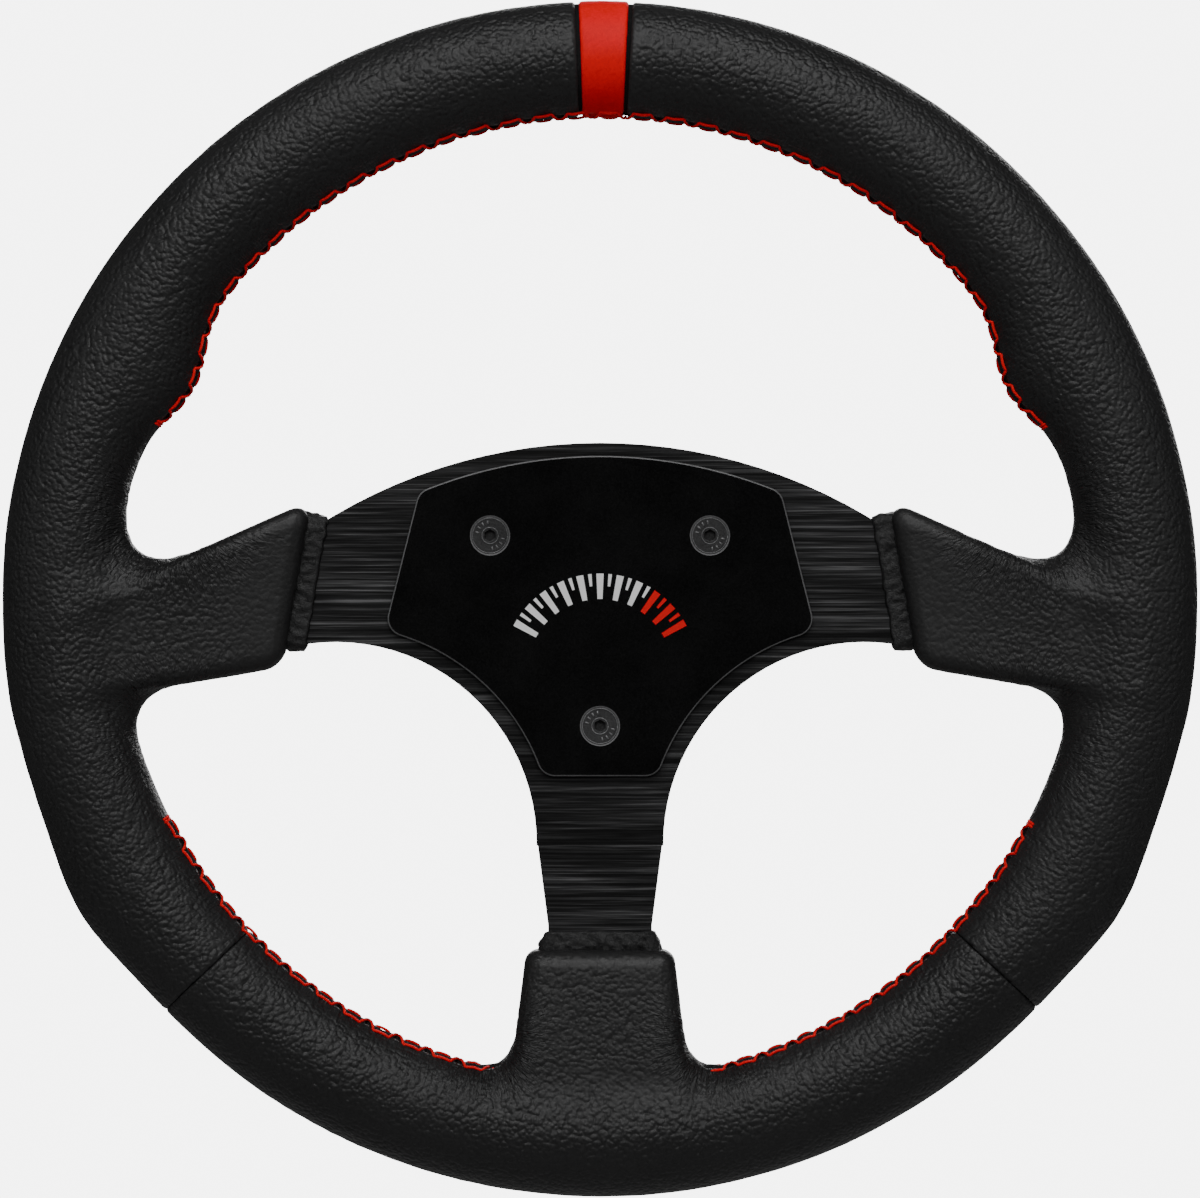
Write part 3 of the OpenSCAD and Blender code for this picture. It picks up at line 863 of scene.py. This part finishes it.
def tick(angle, inner, outer, wide, centre):
    """A tapered tick pointing away from centre at angle."""
    a = math.radians(angle)
    d, s = np.array([math.cos(a), math.sin(a)]), np.array([-math.sin(a), math.cos(a)])
    c = np.array(centre)
    return [tuple(c + d * inner - s * wide * 0.35), tuple(c + d * outer - s * wide * 0.5),
            tuple(c + d * outer + s * wide * 0.5), tuple(c + d * inner + s * wide * 0.35)]


gauge = (0.0, -20.0)   # centre of the arc of ticks
long_ticks = [150 - 12 * i for i in range(11)]
white_ticks = [tick(q, 20, 27, 2.0, gauge) for q in long_ticks if q > 60]
white_ticks += [tick(q - 6, 23.6, 27, 1.0, gauge) for q in long_ticks[:-1] if q > 62]
red_ticks = [tick(q, 20, 27, 2.0, gauge) for q in long_ticks if q <= 60]
red_ticks += [tick(q - 6, 23.6, 27, 1.0, gauge) for q in long_ticks[:-1] if q <= 62]
for name, shapes, material in (("gauge_ticks_white", white_ticks, print_white),
                               ("gauge_ticks_red", red_ticks, print_red)):
    obj = make_mesh(name, *plates(shapes, FACE_Y, 0.06), smooth=False)
    piece(obj, "wheel", "cover", material)

# painted highlights on the three screw heads: thin rings of lighter metal round each head and round its
# socket, and short ticks in two opposite quadrants, stand for glints
painted_glints = []
for q in (30, 150, 270):
    cx, cz = (SCREW_CIRCLE * f(math.radians(q)) for f in (math.cos, math.sin))
    for radius, count, thick in ((2.25, 33, 0.13), (4.85, 49, 0.12)):
        ring = [(cx + radius * math.cos(t), FACE_Y, cz + radius * math.sin(t))
                for t in np.linspace(0, 2 * math.pi, count)]
        painted_glints.append(tube(ring, thick, 6))
    for t in (100, 122, 144, 166, 280, 302, 324, 346):
        painted_glints.append(plates([tick(t, 3.1, 4.2, 0.5, (cx, cz))], FACE_Y, 0.09))
obj = make_mesh("screw_head_painted_glints", *join(painted_glints))
piece(obj, "wheel", "black_steel", glint_metal)

# ---------------------------------------------------------------- return spring
turns = 6.5
t = np.linspace(0, turns, int(turns * 40) + 1)
first, last = 24.88, 43.12      # depth of the wire's middle at the two ends
close = 1.66                    # rise of a closed end turn
lead = (last - first - 2 * close) / (turns - 2)
open_coil = close + lead * (t - 1)
end_coil = last - first - close * (turns - t)
depth = first + np.where(t < 1, close * t, np.where(t < turns - 1, open_coil, end_coil))
coil = np.stack([24.6 * np.cos(2 * np.pi * t), -depth, 24.6 * np.sin(2 * np.pi * t)], 1)
spring = make_mesh("return_spring", *tube(coil, 0.8, 12))
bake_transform(spring)
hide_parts("release_spring")
spring.data.materials.append(steel)

# ---------------------------------------------------------------- CAD nodes that stay
def soften(obj, width, clamp=True):
    """Rounds the sharp edges of a piece, after its flat faces are joined up."""
    weld = obj.modifiers.new("weld", "WELD")
    weld.merge_threshold = 2e-6
    flat = obj.modifiers.new("flat", "DECIMATE")
    flat.decimate_type, flat.angle_limit = "DISSOLVE", math.radians(1)
    bevel = obj.modifiers.new("bevel", "BEVEL")
    bevel.width, bevel.segments, bevel.use_clamp_overlap = width * MM, 2, clamp
    bevel.limit_method, bevel.angle_limit = "ANGLE", math.radians(35)
    return bevel


def refilled(name, node):
    """A copy of a flat CAD piece with its front and back filled afresh round their holes."""
    b = bmesh.new()
    b.from_mesh(node.data)
    bmesh.ops.remove_doubles(b, verts=b.verts[:], dist=2e-6)
    for y in (min(v.co.y for v in b.verts), max(v.co.y for v in b.verts)):
        cap = {f for f in b.faces if all(abs(v.co.y - y) < 1e-6 for v in f.verts)}
        rim = [e for e in b.edges if sum(f in cap for f in e.link_faces) == 1]
        inner = [e for e in b.edges if e.link_faces and all(f in cap for f in e.link_faces)]
        bmesh.ops.delete(b, geom=list(cap), context="FACES_ONLY")
        bmesh.ops.delete(b, geom=inner, context="EDGES")
        bmesh.ops.triangle_fill(b, use_beauty=True, edges=rim)
    bmesh.ops.recalc_face_normals(b, faces=b.faces[:])
    mesh = bpy.data.meshes.new(name)
    b.to_mesh(mesh)
    b.free()
    obj = bpy.data.objects.new(name, mesh)
    bpy.context.scene.collection.objects.link(obj)
    return obj


cover = refilled("cover_plate", nodes["centre_cover"])
piece(cover, "wheel", "cover", cover_black, "centre_cover")
cover.data.materials.append(cover_edge)
soften(cover, 0.4, False).material = 1

looks = {"spoke_plate": brushed, "rim_core": alloy, "core_screws": steel,
         "cover_screws": screw_black, "hub_screws": screw_black, "hub_washers": steel,
         "socket_body": black_alloy, "spline_insert": steel, "insert_screws": screw_black,
         "release_collar": red_alloy, "retaining_ring": steel, "socket_o_ring": rubber}
looks.update({f"locking_ball_{i}": ball_steel for i in range(1, 7)})
edges = {"spoke_plate": 0.35, "cover_screws": 0.12, "hub_screws": 0.25, "socket_body": 0.3,
         "release_collar": 0.35, "spline_insert": 0.2, "insert_screws": 0.15, "hub_washers": 0.1,
         "retaining_ring": 0.12}
for name, material in looks.items():
    node = nodes[name]
    node.data.materials.clear()
    node.data.materials.append(material)
    if name in edges:
        soften(node, edges[name])

# ---------------------------------------------------------------- floor, lights and camera
def glow(tree, colour_out, strength, surface_in):
    """Adds light that only the camera sees, so that the pale surroundings throw no glare."""
    light = tree.nodes.new("ShaderNodeEmission")
    path = tree.nodes.new("ShaderNodeLightPath")
    power = tree.nodes.new("ShaderNodeMath")
    power.operation = "MULTIPLY"
    power.inputs[1].default_value = strength
    both = tree.nodes.new("ShaderNodeAddShader")
    tree.links.new(path.outputs["Is Camera Ray"], power.inputs[0])
    tree.links.new(power.outputs[0], light.inputs["Strength"])
    tree.links.new(colour_out, both.inputs[0])
    tree.links.new(light.outputs[0], both.inputs[1])
    tree.links.new(both.outputs[0], surface_in)


floor_mesh = bpy.data.meshes.new("floor")
disc = [(9 * math.cos(q), 9 * math.sin(q), -0.9) for q in np.linspace(0, 2 * math.pi, 129)[:-1]]
floor_mesh.from_pydata(disc, [], [tuple(range(len(disc)))])
floor = bpy.data.objects.new("floor", floor_mesh)
bpy.context.scene.collection.objects.link(floor)
pale = matte_material("floor_pale", (0.42, 0.42, 0.42), (0.46, 0.46, 0.46), (0.8, 0.9))
shader, target = (pale.node_tree.nodes[name] for name in ("Principled BSDF", "Material Output"))
glow(pale.node_tree, shader.outputs[0], 2.6, target.inputs["Surface"])
floor_mesh.materials.append(pale)

world = bpy.data.worlds.new("studio")
bpy.context.scene.world = world
world.use_nodes = True
tree = world.node_tree
tree.nodes.clear()
seen = tree.nodes.new("ShaderNodeBackground")
seen.inputs[0].default_value = (1, 1, 1, 1)
seen.inputs[1].default_value = 6.0
lit = tree.nodes.new("ShaderNodeBackground")
lit.inputs[0].default_value = (1, 1, 1, 1)
lit.inputs[1].default_value = 0.09
path = tree.nodes.new("ShaderNodeLightPath")
mix = tree.nodes.new("ShaderNodeMixShader")
out = tree.nodes.new("ShaderNodeOutputWorld")
tree.links.new(path.outputs["Is Camera Ray"], mix.inputs[0])
tree.links.new(lit.outputs[0], mix.inputs[1])
tree.links.new(seen.outputs[0], mix.inputs[2])
tree.links.new(mix.outputs[0], out.inputs[0])


def area(name, place, aim, size, power):
    """A rectangular lamp, in metres and watts, that the camera doesn't see."""
    light = bpy.data.lights.new(name, "AREA")
    light.shape, light.size, light.size_y, light.energy = "RECTANGLE", size[0], size[1], power
    obj = bpy.data.objects.new(name, light)
    bpy.context.scene.collection.objects.link(obj)
    obj.location = place
    obj.rotation_euler = (Vector(aim) - Vector(place)).to_track_quat("-Z", "Y").to_euler()
    obj.visible_camera = False
    return obj


middle = (0, -0.0545, 0)
area("key_front", (0, -1.0, 1.35), middle, (1.5, 0.6), 15)
area("front", (0, -2.6, 1.1), middle, (2.0, 0.8), 20)
area("fill_left", (-1.6, -0.9, 0.5), middle, (0.6, 1.3), 2.5)
area("fill_right", (1.6, -0.9, 0.5), middle, (0.6, 1.3), 2.5)
area("back", (0.3, 1.9, 0.6), middle, (1.6, 1.0), 20)

DISTANCE = 2.5         # metres from the camera to the rim's middle plane
FRAME_WIDTH = 0.3313   # metres seen across the picture at that distance
camera = bpy.data.cameras.new("camera")
camera_obj = bpy.data.objects.new("camera", camera)
bpy.context.scene.collection.objects.link(camera_obj)
camera_obj.location = (0, -DISTANCE - 0.0545, 0.0)
camera_obj.rotation_euler = (math.radians(90), 0, 0)
camera.sensor_width = 36
camera.lens = camera.sensor_width * DISTANCE / FRAME_WIDTH
camera.clip_end = 100
bpy.context.scene.camera = camera_obj
